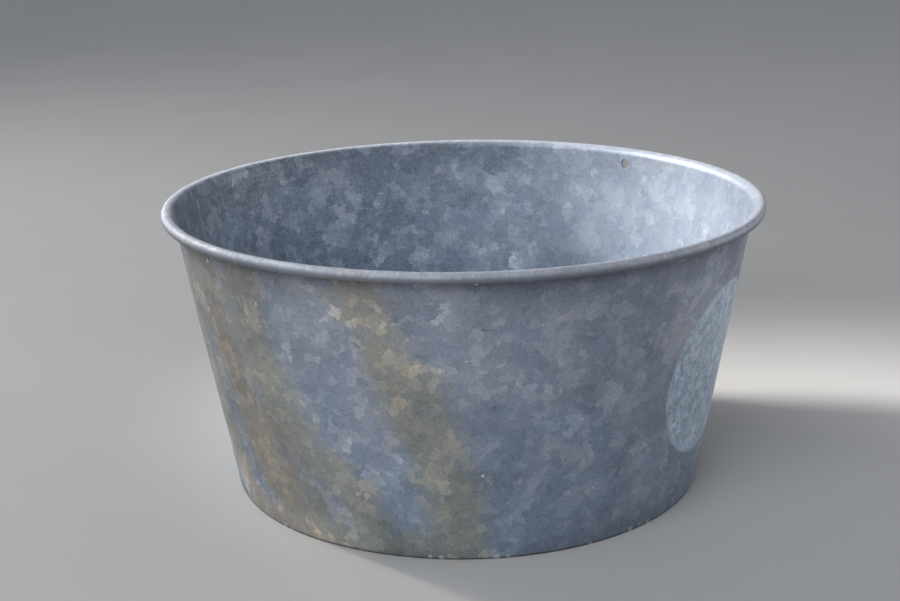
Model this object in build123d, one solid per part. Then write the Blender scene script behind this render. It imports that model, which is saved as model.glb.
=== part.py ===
from build123d import *

import math
import os

# Round tapered wash tub of galvanised sheet steel: one rolled wall sheet with a wired rim and a
# folded side seam, a flanged bottom disc locked into the folded foot of the wall, a steel wire
# inside the rim, and two runs of solder that make the inside corners tight.
# The origin is the centre of the foot on the floor, +Z points up, and lengths are millimetres.

# ---- driving dimensions --------------------------------------------------------------------
rim_diameter = 540.0        # over the outside of the rolled rim
tub_height = 258.0          # floor to the top of the rim
base_diameter = 430.4       # outer face of the wall, carried down to the floor
wall_lean = 9.87            # degrees between the wall and the vertical
sheet = 1.0                 # thickness of every sheet piece
wire_diameter = 7.0         # stiffening wire inside the rim
lay_gap = 0.1               # clearance between two layers that lie against each other

foot_wear = 0.15            # how much of the folded foot is worn flat
flange_height = 5.5         # straight part of the bottom disc's flange
bottom_bend = 1.5           # inside bend radius between the flange and the panel
lip_shortfall = 0.3         # the folded lip of the wall ends this far below the top of the flange
solder_reach = 4.0          # how far the solder fillet climbs the wall and runs in over the panel
solder_depth_angle = 30.0   # it reaches down round the bend to this many degrees above the flange
solder_facets = 3           # flat rings with which it lies against the bend

rim_wrap = 260.0            # degrees that the sheet wraps round the wire from the top of the rim

seam_azimuth = 168.0        # degrees from +X to the side seam
seam_lap = 6.0              # width of the interlocked hooks
seam_foot_clearance = 4.0   # the hooks start this far up the wall
seam_rim_clearance = 13.0   # and stop this far below the top of the rim
seam_slit = 0.4             # butt gap where the hooks are notched away, at the rim and the foot
seam_cut_half_width = 1.9   # the rolled sheet stops this far each side of the seam line
seam_bond = 0.6             # the hooks run this far into the rolled sheet
solder_crown = 0.25         # how far the seam solder stands proud of the inside face

hole_azimuth = 49.15        # degrees from +X to the hanging hole
hole_radius = 4.5
hole_drop = 14.6            # from the top of the rim to the hole's centre, along the wall
hole_lip_height = 1.5       # punched lip, standing out of the outer face
hole_lip_width = 1.1        # thickness of that lip at its root
hole_lip_taper = 0.5        # the lip is this much thinner at its edge
cut_margin = 4.0            # a cutting body runs this far past the ends of what it cuts

wire_joint_azimuth = 150.0  # where the two ends of the rim wire meet
wire_joint = 0.3            # degrees of gap between them

# ---- worked out from them ------------------------------------------------------------------
lean = math.radians(wall_lean)
base_radius = base_diameter / 2
fold_inner = sheet / 2 + lay_gap
fold_outer = fold_inner + sheet
curl_inner = wire_diameter / 2 + lay_gap
curl_outer = curl_inner + sheet
curl_centre = (rim_diameter / 2 - curl_outer, tub_height - curl_outer)

# The wall bends over into the rim through a shoulder that is tangent to the wall's inside face
# and to the top of the curl.
inside_foot_radius = base_radius - sheet / math.cos(lean)
shoulder_radius = (
    (curl_centre[0] - inside_foot_radius) * math.cos(lean) - tub_height * math.sin(lean)
) / (1 - math.sin(lean))
shoulder_centre = (curl_centre[0], tub_height - shoulder_radius)


def wall_point(up, out):
    """Section point (radius, height): up along the wall, out from the wall's outer face."""
    radius = base_radius + up * math.sin(lean) + out * math.cos(lean)
    height = up * math.cos(lean) - out * math.sin(lean)
    return (radius, height)


def up_at_height(height, out):
    """Distance along the wall at which a line at that offset reaches a height."""
    return (height + out * math.sin(lean)) / math.cos(lean)


fold_offset = -(sheet + fold_inner)
fold_up = up_at_height(fold_outer - foot_wear, fold_offset)
fold_centre = wall_point(fold_up, fold_offset)
flange_top = fold_up + flange_height
wall_length = up_at_height(tub_height, -sheet)


def strip(path_edges, thickness, side):
    """Face of constant thickness along a line of edges."""
    path = Wire(path_edges)
    outline = path.offset_2d(thickness, side=side, closed=True)
    return make_face(outline.edges())


def ring(section, start=0.0, sweep=360.0):
    """Solid of revolution about Z of a section drawn as (radius, height)."""
    upright = Plane.XZ * section
    turned = revolve(upright, Axis.Z, sweep)
    return Rot(0, 0, start) * turned


def wall_plane(azimuth, up, out):
    """Plane on the wall: X round the tub, Y out of the wall, Z up along the wall."""
    angle = math.radians(azimuth)
    radius, height = wall_point(up, out)
    radial = Vector(math.cos(angle), math.sin(angle), 0)
    round_the_tub = Vector(math.sin(angle), -math.cos(angle), 0)
    up_the_wall = radial * math.sin(lean) + Vector(0, 0, math.cos(lean))
    return Plane(origin=radial * radius + Vector(0, 0, height), x_dir=round_the_tub, z_dir=up_the_wall)


# ---- side seam: two hooks folded into each other on the outer face ---------------------------
# In the seam's own section X runs round the tub and Y outwards from the wall's inside face.
layer = sheet + lay_gap
hook_a_bend = (-(fold_outer + lay_gap / 2), fold_outer)
hook_b_bend = (hook_a_bend[0] - seam_lap, fold_outer + layer)
knee_upper = (hook_a_bend[0] + layer, fold_outer + layer)
knee_lower = (fold_outer + lay_gap / 2, fold_outer)


def hook_a():
    """End of the sheet that turns back over itself, facing the first direction."""
    x_bend, y_bend = hook_a_bend
    start = (-(seam_cut_half_width + seam_bond), sheet)
    edges = [
        Line(start, (x_bend, sheet)),
        CenterArc((x_bend, y_bend), fold_inner, -90, 180),
        Line((x_bend, 2 * layer), (x_bend - seam_lap, 2 * layer)),
    ]
    return strip(edges, sheet, Side.RIGHT)


def hook_b():
    """Other end: it steps out over hook A, turns back and lies inside it."""
    x_bend, y_bend = hook_b_bend
    x_up, y_up = knee_upper
    x_low, y_low = knee_lower
    edges = [
        Line((seam_cut_half_width + seam_bond, sheet), (x_low, sheet)),
        CenterArc((x_low, y_low), fold_inner, -90, -90),
        Line((x_low - fold_inner, y_low), (x_up + fold_outer, y_up)),
        CenterArc((x_up, y_up), fold_outer, 0, 90),
        Line((x_up, y_up + fold_outer), (x_bend, y_bend + fold_outer)),
        CenterArc((x_bend, y_bend), fold_outer, 90, 180),
        Line((x_bend, layer), (hook_a_bend[0] - lay_gap, layer)),
    ]
    return strip(edges, sheet, Side.LEFT)


def seam_solder_section():
    """Solder that fills the groove left between the two bends on the inside face."""
    left_x = hook_a_bend[0]
    right_x = knee_lower[0]
    edges = [
        CenterArc((left_x, fold_outer), fold_outer, -90, 90),
        Line((left_x + fold_outer, fold_outer), (right_x - fold_outer, fold_outer)),
        CenterArc((right_x, fold_outer), fold_outer, 180, 90),
        ThreePointArc((right_x, 0), (0, -solder_crown), (left_x, 0)),
    ]
    return make_face(edges)


seam_start = fold_up + seam_foot_clearance
seam_end = wall_length - seam_rim_clearance
seam_length = seam_end - seam_start


def seam_block(half_width, bottom, top):
    """Cutting block centred on the seam line, between two distances up the wall."""
    rim_reach = 2 * (shoulder_radius + curl_outer)
    block = Box(
        2 * half_width,
        2 * rim_reach,
        top - bottom,
        align=(Align.CENTER, Align.CENTER, Align.MIN),
    )
    return wall_plane(seam_azimuth, bottom, -sheet) * block


# ---- wall sheet ----------------------------------------------------------------------------
def wall_section():
    """Inside line of the sheet from the folded foot to the end of the curl, then thickened."""
    lip_offset = fold_offset - fold_inner
    lip_top = flange_top - lip_shortfall
    lean_angle = 180 - wall_lean
    shoulder_up = up_at_height(shoulder_centre[1] + shoulder_radius * math.sin(lean), -sheet)
    edges = [
        Line(wall_point(lip_top, lip_offset), wall_point(fold_up, lip_offset)),
        CenterArc(fold_centre, fold_inner, lean_angle, 180),
        Line(wall_point(fold_up, -sheet), wall_point(shoulder_up, -sheet)),
        CenterArc(shoulder_centre, shoulder_radius, lean_angle, -(90 - wall_lean)),
        CenterArc(curl_centre, curl_outer, 90, -rim_wrap),
    ]
    return strip(edges, sheet, Side.RIGHT)


def hanging_hole_lip():
    """Burr that the punch left round the hanging hole, on the outer face."""
    place = wall_plane(hole_azimuth, wall_length - hole_drop, -sheet / 2)
    facing_out = Plane(origin=place.origin, x_dir=place.x_dir, z_dir=place.y_dir)
    root = hole_radius + hole_lip_width
    lip = Cone(
        root,
        root - hole_lip_taper,
        sheet / 2 + hole_lip_height,
        align=(Align.CENTER, Align.CENTER, Align.MIN),
    )
    return facing_out * lip


def hanging_hole():
    place = wall_plane(hole_azimuth, wall_length - hole_drop, 0)
    facing_out = Plane(origin=place.origin, x_dir=place.x_dir, z_dir=place.y_dir)
    return facing_out * Cylinder(hole_radius, 2 * (sheet + hole_lip_height))


def floor_trim():
    """Everything below the floor, which the foot has been worn down to."""
    return Pos(0, 0, -sheet) * Box(base_diameter * 2, base_diameter * 2, 2 * sheet)


def make_wall_sheet():
    wall = ring(wall_section())
    wall -= seam_block(seam_slit / 2, -cut_margin, wall_length + cut_margin)
    wall -= seam_block(seam_cut_half_width, seam_start, seam_end)
    seam_section_plane = wall_plane(seam_azimuth, seam_start, -sheet)
    for hook in (hook_a(), hook_b()):
        wall += extrude(seam_section_plane * hook, seam_length, dir=seam_section_plane.z_dir)
    wall += hanging_hole_lip()
    wall -= hanging_hole()
    wall -= floor_trim()
    return wall


# ---- rim wire ------------------------------------------------------------------------------
def make_rim_wire():
    section = Pos(curl_centre[0], curl_centre[1]) * Circle(wire_diameter / 2)
    start = wire_joint_azimuth + wire_joint / 2
    return ring(section, start, 360 - wire_joint)


# ---- bottom disc ---------------------------------------------------------------------------
bend_centre = wall_point(flange_top, fold_offset - sheet / 2 - bottom_bend)
panel_top = bend_centre[1] + bottom_bend + sheet


def make_bottom_disc():
    underside = fold_offset - sheet / 2
    edges = [
        Line(wall_point(fold_up, underside), wall_point(flange_top, underside)),
        CenterArc(bend_centre, bottom_bend, -wall_lean, 90 + wall_lean),
        Line((bend_centre[0], panel_top - sheet), (0, panel_top - sheet)),
    ]
    return ring(strip(edges, sheet, Side.RIGHT))


# ---- solder --------------------------------------------------------------------------------
fillet_top_up = up_at_height(panel_top + solder_reach, -sheet)
fillet_top = wall_point(fillet_top_up, -sheet)
corner = wall_point(up_at_height(panel_top, -sheet), -sheet)
fillet_edge = (corner[0] - solder_reach, panel_top)


def make_bottom_solder():
    """Fillet between the wall and the panel, down into the groove beside the flange."""
    bend_outer = bottom_bend + sheet
    lowest = solder_depth_angle - wall_lean
    facet_turn = (90 - lowest) / solder_facets
    facet_reach = bend_outer / math.cos(math.radians(facet_turn / 2))
    facet_corners = []
    for i in range(solder_facets):
        angle = math.radians(90 - facet_turn * (i + 0.5))
        corner_x = bend_centre[0] + facet_reach * math.cos(angle)
        corner_z = bend_centre[1] + facet_reach * math.sin(angle)
        facet_corners.append((corner_x, corner_z))
    groove_side = (
        bend_centre[0] + bend_outer * math.cos(math.radians(lowest)),
        bend_centre[1] + bend_outer * math.sin(math.radians(lowest)),
    )
    groove_foot = wall_point(up_at_height(groove_side[1], -sheet), -sheet)
    outline = Polyline(
        groove_foot,
        fillet_top,
        fillet_edge,
        (bend_centre[0], panel_top),
        *facet_corners,
        groove_side,
        close=True,
    )
    return ring(make_face(outline.edges()))


def make_side_seam_solder():
    """Filled groove of the side seam, from the bottom fillet to the end of the hooks."""
    start = fillet_top_up + lay_gap
    place = wall_plane(seam_azimuth, start, -sheet)
    return extrude(place * seam_solder_section(), seam_end - start, dir=place.z_dir)


# ---- write every piece ---------------------------------------------------------------------
pieces = {
    "wall_sheet": make_wall_sheet(),
    "rim_wire": make_rim_wire(),
    "bottom_disc": make_bottom_disc(),
    "bottom_seam_solder": make_bottom_solder(),
    "side_seam_solder": make_side_seam_solder(),
}

for name, piece in pieces.items():
    print(name, "solids", len(piece.solids()), "volume", round(piece.volume, 1), "valid", piece.is_valid)
    export_step(piece, f"parts/{name}.step")
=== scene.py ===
import math

import bmesh
import bpy
from mathutils import Matrix, Vector, noise


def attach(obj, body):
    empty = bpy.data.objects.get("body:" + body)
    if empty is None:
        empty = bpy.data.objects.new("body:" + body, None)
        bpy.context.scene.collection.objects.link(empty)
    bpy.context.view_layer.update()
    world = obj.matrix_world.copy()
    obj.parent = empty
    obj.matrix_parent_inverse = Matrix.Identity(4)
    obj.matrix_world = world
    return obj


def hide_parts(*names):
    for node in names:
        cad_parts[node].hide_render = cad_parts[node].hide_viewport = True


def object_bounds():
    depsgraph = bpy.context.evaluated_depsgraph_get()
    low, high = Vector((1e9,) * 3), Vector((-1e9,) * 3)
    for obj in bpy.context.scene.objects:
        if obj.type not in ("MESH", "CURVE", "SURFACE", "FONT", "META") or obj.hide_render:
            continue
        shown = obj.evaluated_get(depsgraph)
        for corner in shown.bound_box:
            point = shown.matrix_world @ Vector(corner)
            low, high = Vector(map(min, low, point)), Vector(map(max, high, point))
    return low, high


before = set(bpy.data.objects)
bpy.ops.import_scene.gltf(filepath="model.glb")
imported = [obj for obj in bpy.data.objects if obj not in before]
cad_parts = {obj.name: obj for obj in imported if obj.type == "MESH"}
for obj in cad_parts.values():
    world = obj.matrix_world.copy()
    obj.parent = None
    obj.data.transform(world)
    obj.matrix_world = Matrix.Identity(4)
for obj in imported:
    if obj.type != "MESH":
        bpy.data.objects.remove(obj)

# Looks of the round galvanised tub. Lengths are metres, in the frame of the imported model, unless
# a name ends in _MM or _DEGREES. The sheet pieces and the solder are rebuilt as finer meshes of
# the same section, with the unevenness of worked sheet, and node materials give the zinc its
# crystals, stains and wear, along with painted shade under the rim and the bead, along the foot and
# low on the right, and a painted highlight and sheen on the rim and the front.

cad_low, cad_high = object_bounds()

# ---- sizes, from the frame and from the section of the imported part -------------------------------
MM = 0.001
RIM_RADIUS = (cad_high.x - cad_low.x) / 2
HEIGHT = cad_high.z
LEAN = math.radians(9.87)
LEAN_DEGREES = math.degrees(LEAN)
SHEET = 1.0 * MM
WIRE_RADIUS = 3.5 * MM
LAY_GAP = 0.1 * MM
BASE_RADIUS = 215.2 * MM
BOX_SHY = 0.06 * MM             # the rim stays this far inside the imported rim
WALL_SWELL = 0.9 * MM           # unevenness of the worked wall: long waves and short ones
WALL_RIPPLE = 0.28 * MM
STIFF_ZONE = 70.0 * MM          # the foot and the rim hold the wall true for this far
PANEL_SWELL = 0.8 * MM
PANEL_RIPPLE = 0.15 * MM
FOOT_WEAR = 0.15 * MM
FLANGE_HEIGHT = 5.5 * MM
LIP_SHORTFALL = 0.3 * MM
BOTTOM_BEND = 1.5 * MM
SOLDER_REACH = 4.0 * MM
RIM_WRAP_DEGREES = 260.0

SEAM_AZIMUTH = math.radians(168.0)
SEAM_LAP = 6.0 * MM
SEAM_CROWN = 0.25 * MM
SEAM_FOOT_CLEARANCE = 4.0 * MM
SEAM_RIM_CLEARANCE = 13.0 * MM
HOLE_AZIMUTH = math.radians(49.15)
HOLE_RADIUS = 4.5 * MM
HOLE_DROP = 14.6 * MM
HOLE_LIP_HEIGHT = 1.5 * MM
HOLE_LIP_ROOT = 5.6 * MM
HOLE_LIP_EDGE = 5.1 * MM

fold_inner = SHEET / 2 + LAY_GAP
fold_outer = fold_inner + SHEET
curl_inner = WIRE_RADIUS + LAY_GAP
curl_outer = curl_inner + SHEET
curl_centre = (RIM_RADIUS - curl_outer, HEIGHT - curl_outer)
inside_foot = BASE_RADIUS - SHEET / math.cos(LEAN)
shoulder_radius = (
    (curl_centre[0] - inside_foot) * math.cos(LEAN) - HEIGHT * math.sin(LEAN)
) / (1 - math.sin(LEAN))
shoulder_centre = (curl_centre[0], HEIGHT - shoulder_radius)


def wall_point(up, out):
    """Section point (radius, height): up along the wall, out from its outer face."""
    radius = BASE_RADIUS + up * math.sin(LEAN) + out * math.cos(LEAN)
    return (radius, up * math.cos(LEAN) - out * math.sin(LEAN))


def up_at_height(height, out):
    """Distance up the wall at which the line at that offset reaches a height."""
    return (height + out * math.sin(LEAN)) / math.cos(LEAN)


def wall_at_height(height, out):
    """Section point at which the line at that offset reaches a height."""
    return wall_point(up_at_height(height, out), out)


fold_offset = -(SHEET + fold_inner)
fold_up = up_at_height(fold_outer - FOOT_WEAR, fold_offset)
fold_centre = wall_point(fold_up, fold_offset)
flange_top = fold_up + FLANGE_HEIGHT
shoulder_up = up_at_height(shoulder_centre[1] + shoulder_radius * math.sin(LEAN), -SHEET)
wall_length = up_at_height(HEIGHT, -SHEET)
hole_up = wall_length - HOLE_DROP
bend_centre = wall_point(flange_top, fold_offset - SHEET / 2 - BOTTOM_BEND)
panel_top = bend_centre[1] + BOTTOM_BEND + SHEET
seam_start = fold_up + SEAM_FOOT_CLEARANCE
seam_end = wall_length - SEAM_RIM_CLEARANCE


# ---- small helpers -------------------------------------------------------------------------------
def smooth(value, low, high):
    """0 below low, 1 above high, eased between."""
    t = min(max((value - low) / (high - low), 0.0), 1.0)
    return t * t * (3 - 2 * t)


def spread(low, high, step):
    """Evenly spaced values from low to high, both included, no further apart than step."""
    count = max(1, math.ceil((high - low) / step - 1e-6))
    return [low + (high - low) * i / count for i in range(count + 1)]


def arc(centre, radius, start, sweep, steps):
    """Section points along an arc; angles in degrees."""
    points = []
    for i in range(steps + 1):
        angle = math.radians(start + sweep * i / steps)
        points.append((centre[0] + radius * math.cos(angle), centre[1] + radius * math.sin(angle)))
    return points


def on_circle(angle, radius, height):
    return Vector((radius * math.cos(angle), radius * math.sin(angle), height))


def stray(angle, height):
    """How far the hand-worked wall stands off its true cone at a place, along the radius."""
    place = on_circle(angle, 1.0, height / RIM_RADIUS)
    slow = noise.noise(place * 1.6 + Vector((3.1, 0.4, 7.7)))
    quick = noise.noise(place * 5.0 + Vector((9.2, 4.6, 1.3)))
    off_foot = smooth(height, 6 * MM, STIFF_ZONE)
    off_rim = 1 - smooth(height, HEIGHT - STIFF_ZONE, HEIGHT - 9 * MM)
    return (WALL_SWELL * slow + WALL_RIPPLE * quick) * off_foot * off_rim - BOX_SHY * (1 - off_rim)


def shy(height):
    """A height on the wall, brought down a little near the rim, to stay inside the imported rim."""
    return height - BOX_SHY * smooth(height, HEIGHT / 2, HEIGHT)


def mesh_object(name, vertices, faces, material, sharp_degrees=38.0):
    """Smooth-shaded object with sharp edges where faces meet at more than that angle."""
    mesh = bpy.data.meshes.new(name)
    mesh.from_pydata(vertices, [], faces)
    shell = bmesh.new()
    shell.from_mesh(mesh)
    bmesh.ops.recalc_face_normals(shell, faces=shell.faces)
    shell.to_mesh(mesh)
    shell.free()
    mesh.shade_smooth()
    mesh.set_sharp_from_angle(angle=math.radians(sharp_degrees))
    mesh.materials.append(material)
    piece = bpy.data.objects.new(name, mesh)
    bpy.context.scene.collection.objects.link(piece)
    return piece


def numbers(column, count):
    """Vertex numbers of one column of a mesh that is built column by column."""
    return range(column * count, (column + 1) * count)


def quads(first, second, closed=True):
    """Four-sided faces between two equally long lists of vertex numbers."""
    pairs = list(zip(first, second))
    following = pairs[1:] + pairs[:1] if closed else pairs[1:]
    return [(a, b, d, c) for (a, b), (c, d) in zip(pairs, following)]


def keep_values(piece, name, values):
    """Stores one number per vertex, for the piece's material."""
    attribute = piece.data.attributes.new(name, "FLOAT", "POINT")
    attribute.data.foreach_set("value", values)


# ---- side seam, as heights over the sheet --------------------------------------------------------
# Across the seam, distances run clockwise round the tub from the seam line.
LAYER = SHEET + LAY_GAP
hook_top = fold_outer + LAYER + fold_outer - SHEET
hook_far = -(fold_outer + LAY_GAP / 2) - SEAM_LAP
knee_upper = -(fold_outer + LAY_GAP / 2) + LAYER
knee_lower = fold_outer + LAY_GAP / 2
SEAM_EDGE = 0.05 * MM
SLIT_HALF_WIDTH = 0.2 * MM
SLIT_DEPTH = 0.42 * MM


def bulge(distance, radius):
    """Height of a round of that radius above its centre, at a distance beside it."""
    return math.sqrt(max(radius * radius - distance * distance, 0.0))


def hook_height(across):
    """How far the folded hooks stand over the outer face."""
    if across < hook_far - fold_outer or across > knee_lower:
        return 0.0
    if across < hook_far:
        return hook_top - fold_outer + bulge(across - hook_far, fold_outer)
    if across < knee_upper:
        return hook_top
    if across < knee_upper + fold_outer:
        return hook_top - fold_outer + bulge(across - knee_upper, fold_outer)
    return fold_inner - bulge(knee_lower - across, fold_inner)


def groove_depth(across):
    """How far the inside face is drawn out between the two bends of the seam."""
    beside = knee_lower - abs(across)
    if beside <= 0:
        return 0.0
    return fold_outer - bulge(min(beside, fold_outer), fold_outer)


def seam_gate(up):
    return 1.0 if seam_start <= up <= seam_end else 0.0


# ---- the wall's mesh: section points all round, with denser columns at the seam and the hole -----
WINDOW = 7.5 * MM               # half side of the square round the hole that is meshed in rings
WINDOW_STEPS = 12
SEAM_ZONE = 15.0 * MM
COLUMN_STEP = math.radians(1.0)
ROW_STEP = 5.5 * MM

window_lines = [WINDOW * (2 * i / WINDOW_STEPS - 1) for i in range(WINDOW_STEPS + 1)]


def seam_columns():
    """Distances across the seam at which its section needs a column."""
    columns = spread(-SEAM_ZONE, hook_far - fold_outer - SEAM_EDGE, 1.5 * MM)
    columns += [hook_far - fold_outer, hook_far - 1.45 * MM, hook_far - 1.1 * MM]
    columns += spread(hook_far - 0.6 * MM, hook_far, 0.6 * MM)
    columns += spread(hook_far + 2 * MM, -knee_lower, 2 * MM)
    columns += [-1.2 * MM, knee_upper, -SLIT_HALF_WIDTH, 0.0, SLIT_HALF_WIDTH]
    columns += [knee_upper + fold_outer * k for k in (0.72, 0.9)]
    columns += [knee_upper + fold_outer, knee_upper + fold_outer + SEAM_EDGE]
    columns += [1.3 * MM, knee_lower]
    columns += spread(knee_lower + 1.0 * MM, SEAM_ZONE, 2 * MM)
    return sorted(set(columns))


def wall_columns():
    """Columns in order round the tub, as (angle, distance clockwise of it)."""
    clear_of_seam = 2 * SEAM_ZONE / (BASE_RADIUS + RIM_RADIUS) + math.radians(1.2)
    clear_of_hole = WINDOW / BASE_RADIUS
    hole_angle = HOLE_AZIMUTH + 2 * math.pi
    first = SEAM_AZIMUTH + clear_of_seam
    last = SEAM_AZIMUTH + 2 * math.pi - clear_of_seam
    before_hole = spread(first, hole_angle - clear_of_hole, COLUMN_STEP)
    after_hole = spread(hole_angle + clear_of_hole, last, COLUMN_STEP)
    columns = [(SEAM_AZIMUTH, across) for across in reversed(seam_columns())]
    columns += [(angle, 0.0) for angle in before_hole]
    columns += [(hole_angle, across) for across in reversed(window_lines)]
    columns += [(angle, 0.0) for angle in after_hole]
    return columns


def wall_rows():
    """Distances up the wall for both faces."""
    seam_rows = [seam_start - SEAM_EDGE, seam_start, seam_end, seam_end + SEAM_EDGE]
    hole_rows = [hole_up + line for line in window_lines]
    rows = spread(fold_up, flange_top, 1.6 * MM) + seam_rows[:2]
    rows += spread(flange_top + 2 * MM, hole_rows[0] - 2 * MM, ROW_STEP)
    rows += hole_rows + seam_rows[2:] + [shoulder_up]
    return sorted(set(rows))


OUT_OF_WALL = (math.cos(LEAN), -math.sin(LEAN))
INTO_WALL = (-math.cos(LEAN), math.sin(LEAN))


def arc_section(centre, radius, start, sweep, steps, metal_inside, **facts):
    """Section points along a rolled stretch. metal_inside: the metal lies towards the centre."""
    points = []
    for point in arc(centre, radius, start, sweep, steps):
        way = -1 if metal_inside else 1
        into = (way * (point[0] - centre[0]) / radius, way * (point[1] - centre[1]) / radius)
        point = (point[0], max(point[1], 0.0))
        points.append(dict(place=point, into=into, **facts))
    return points


def wall_section():
    """The whole outline of the wall's section, in order: inside face, rim, outer face, foot."""
    rows = wall_rows()
    inner = [dict(up=up, out=-SHEET, into=OUT_OF_WALL, side=0.0, rim=0.0) for up in rows]
    outer = [dict(up=up, out=0.0, into=INTO_WALL, side=1.0, rim=0.0) for up in reversed(rows)]
    lean_angle = 180 - LEAN_DEGREES
    quarter = 90 - LEAN_DEGREES
    lip_top = flange_top - LIP_SHORTFALL
    lip_outer = fold_offset - fold_outer
    lip_inner = fold_offset - fold_inner
    shoulder = arc_section(
        shoulder_centre, shoulder_radius, lean_angle, -quarter, 9, True, side=0.0, rim=0.0
    )
    for i, point in enumerate(shoulder):
        point["rim"] = smooth(i, 3, 9)
    curl = arc_section(curl_centre, curl_outer, 90, -RIM_WRAP_DEGREES, 30, True, side=1.0, rim=1.0)
    for i, point in enumerate(curl):
        point["side"] = smooth(i, 0, 4)
    lining = arc_section(
        curl_centre, curl_inner, 90 - RIM_WRAP_DEGREES, RIM_WRAP_DEGREES, 14, False, side=1.0, rim=1.0
    )
    underside = arc_section(
        shoulder_centre, shoulder_radius - SHEET, 90, quarter, 7, False, side=1.0, rim=1.0
    )
    fold = arc_section(fold_centre, fold_outer, -LEAN_DEGREES, -180, 12, True, side=1.0, rim=0.0)
    lip = [
        dict(up=flange_top - 2 * MM, out=lip_outer, into=OUT_OF_WALL, side=1.0, rim=0.0),
        dict(up=lip_top, out=lip_outer, into=OUT_OF_WALL, side=1.0, rim=0.0),
        dict(up=lip_top, out=lip_inner, into=INTO_WALL, side=1.0, rim=0.0),
    ]
    fold_lining = arc_section(
        fold_centre, fold_inner, lean_angle, 180, 6, False, side=0.0, rim=0.0
    )
    return (
        inner + shoulder[1:] + curl[1:] + lining + underside[1:-1] + outer + fold[1:] + lip
        + fold_lining[:-1]
    )


def wall_vertex(point, angle, across):
    """Where one section point lies at one column of the wall."""
    in_seam = angle == SEAM_AZIMUTH
    if "up" in point:
        out = point["out"]
        if in_seam and out == 0.0:
            out += hook_height(across) * seam_gate(point["up"])
        elif in_seam and out == -SHEET:
            out += groove_depth(across) * seam_gate(point["up"])
        radius, height = wall_point(point["up"], out)
    else:
        radius, height = point["place"]
    # Past both ends of the hooks, the sheet's two edges meet in a fine slit.
    hooked = "up" in point and seam_gate(point["up"])
    if in_seam and across == 0.0 and not hooked:
        radius += point["into"][0] * SLIT_DEPTH
        height += point["into"][1] * SLIT_DEPTH
    turned = angle - across / radius
    moved = radius + stray(turned, height)
    return on_circle(turned, moved, shy(max(height, 0.0)))


def hole_rings():
    """Rings from the outer face over the punched lip and through the hole: radius, distance out."""
    root, edge, bore, top = HOLE_LIP_ROOT, HOLE_LIP_EDGE, HOLE_RADIUS, HOLE_LIP_HEIGHT
    outer_face = [(root + 1.3 * MM, 0.0), (root + 0.6 * MM, 0.0), (root + 0.15 * MM, 0.02 * MM)]
    slope = [(root, 0.12 * MM), (edge + 0.1 * MM, top - 0.2 * MM), (edge - 0.05 * MM, top - 0.03 * MM)]
    crest = [(edge - 0.2 * MM, top), (bore + 0.12 * MM, top), (bore + 0.02 * MM, top - 0.08 * MM)]
    through = [(bore, top - 0.2 * MM), (bore, 0.0), (bore, -SHEET + 0.12 * MM)]
    inner_face = [(bore + 0.06 * MM, -SHEET + 0.02 * MM)]
    inner_face += [(bore + beyond, -SHEET) for beyond in (0.2 * MM, 0.9 * MM, 1.8 * MM)]
    return outer_face + slope + crest + through + inner_face


def hole_point(across, along, out):
    radius, height = wall_point(hole_up + along, out)
    angle = HOLE_AZIMUTH - across / radius
    return on_circle(angle, radius + stray(angle, height), shy(height))


def window_loop(low_row, high_row, low_column, high_column):
    """(row, column) pairs once round the edge of the window, in order."""
    loop = [(low_row, c) for c in range(low_column, high_column)]
    loop += [(r, high_column) for r in range(low_row, high_row)]
    loop += [(high_row, c) for c in range(high_column, low_column, -1)]
    loop += [(r, low_column) for r in range(high_row, low_row, -1)]
    return loop


def hole_window(section, columns):
    """The cells round the hole: first and last column, and the rows on the inner and outer face."""
    in_window = [
        i for i, (angle, across) in enumerate(columns) if angle > SEAM_AZIMUTH and across != 0.0
    ]
    low = hole_up - WINDOW - SEAM_EDGE / 2
    high = hole_up + WINDOW + SEAM_EDGE / 2
    near_hole = [i for i, point in enumerate(section) if "up" in point and low < point["up"] < high]
    inner_rows = [i for i in near_hole if section[i]["out"] == -SHEET]
    outer_rows = [i for i in near_hole if section[i]["out"] == 0.0]
    return min(in_window), max(in_window), inner_rows, outer_rows


def make_wall(material):
    section = wall_section()
    columns = wall_columns()
    count = len(section)
    vertices = []
    side = []
    rim = []
    for angle, across in columns:
        for point in section:
            vertices.append(wall_vertex(point, angle, across))
            side.append(point["side"])
            rim.append(point["rim"])

    # The window of cells round the hole is left out of both faces.
    low_column, high_column, inner_rows, outer_rows = hole_window(section, columns)
    window_rows = inner_rows[:-1] + outer_rows[:-1]
    faces = []
    for c in range(len(columns)):
        cells = quads(numbers(c, count), numbers((c + 1) % len(columns), count))
        left_out = window_rows if low_column <= c < high_column else []
        faces += [cell for r, cell in enumerate(cells) if r not in left_out]

    # Rings of the hole, from the window's edge on the outer face to its edge on the inner face.
    outer_loop = window_loop(outer_rows[0], outer_rows[-1], low_column, high_column)
    rings = [[c * count + r for r, c in outer_loop]]
    for radius, out in hole_rings():
        rings.append(range(len(vertices), len(vertices) + len(outer_loop)))
        for r, c in outer_loop:
            way = math.atan2(section[r]["up"] - hole_up, columns[c][1])
            vertices.append(hole_point(radius * math.cos(way), radius * math.sin(way), out))
            side.append(1.0 if out > -SHEET / 2 else 0.0)
            rim.append(0.0)
    through = dict(zip(outer_rows, reversed(inner_rows)))
    rings.append([c * count + through[r] for r, c in outer_loop])
    for ring, following in zip(rings, rings[1:]):
        faces += quads(ring, following)

    wall = mesh_object("wall", vertices, faces, material)
    keep_values(wall, "outside", side)
    keep_values(wall, "rim", rim)
    return wall


# ---- bottom panel and solder ---------------------------------------------------------------------
PANEL_COLUMNS = 120
SOLDER_COLUMNS = 240
SOLDER_SHARP_DEGREES = 60.0


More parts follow.
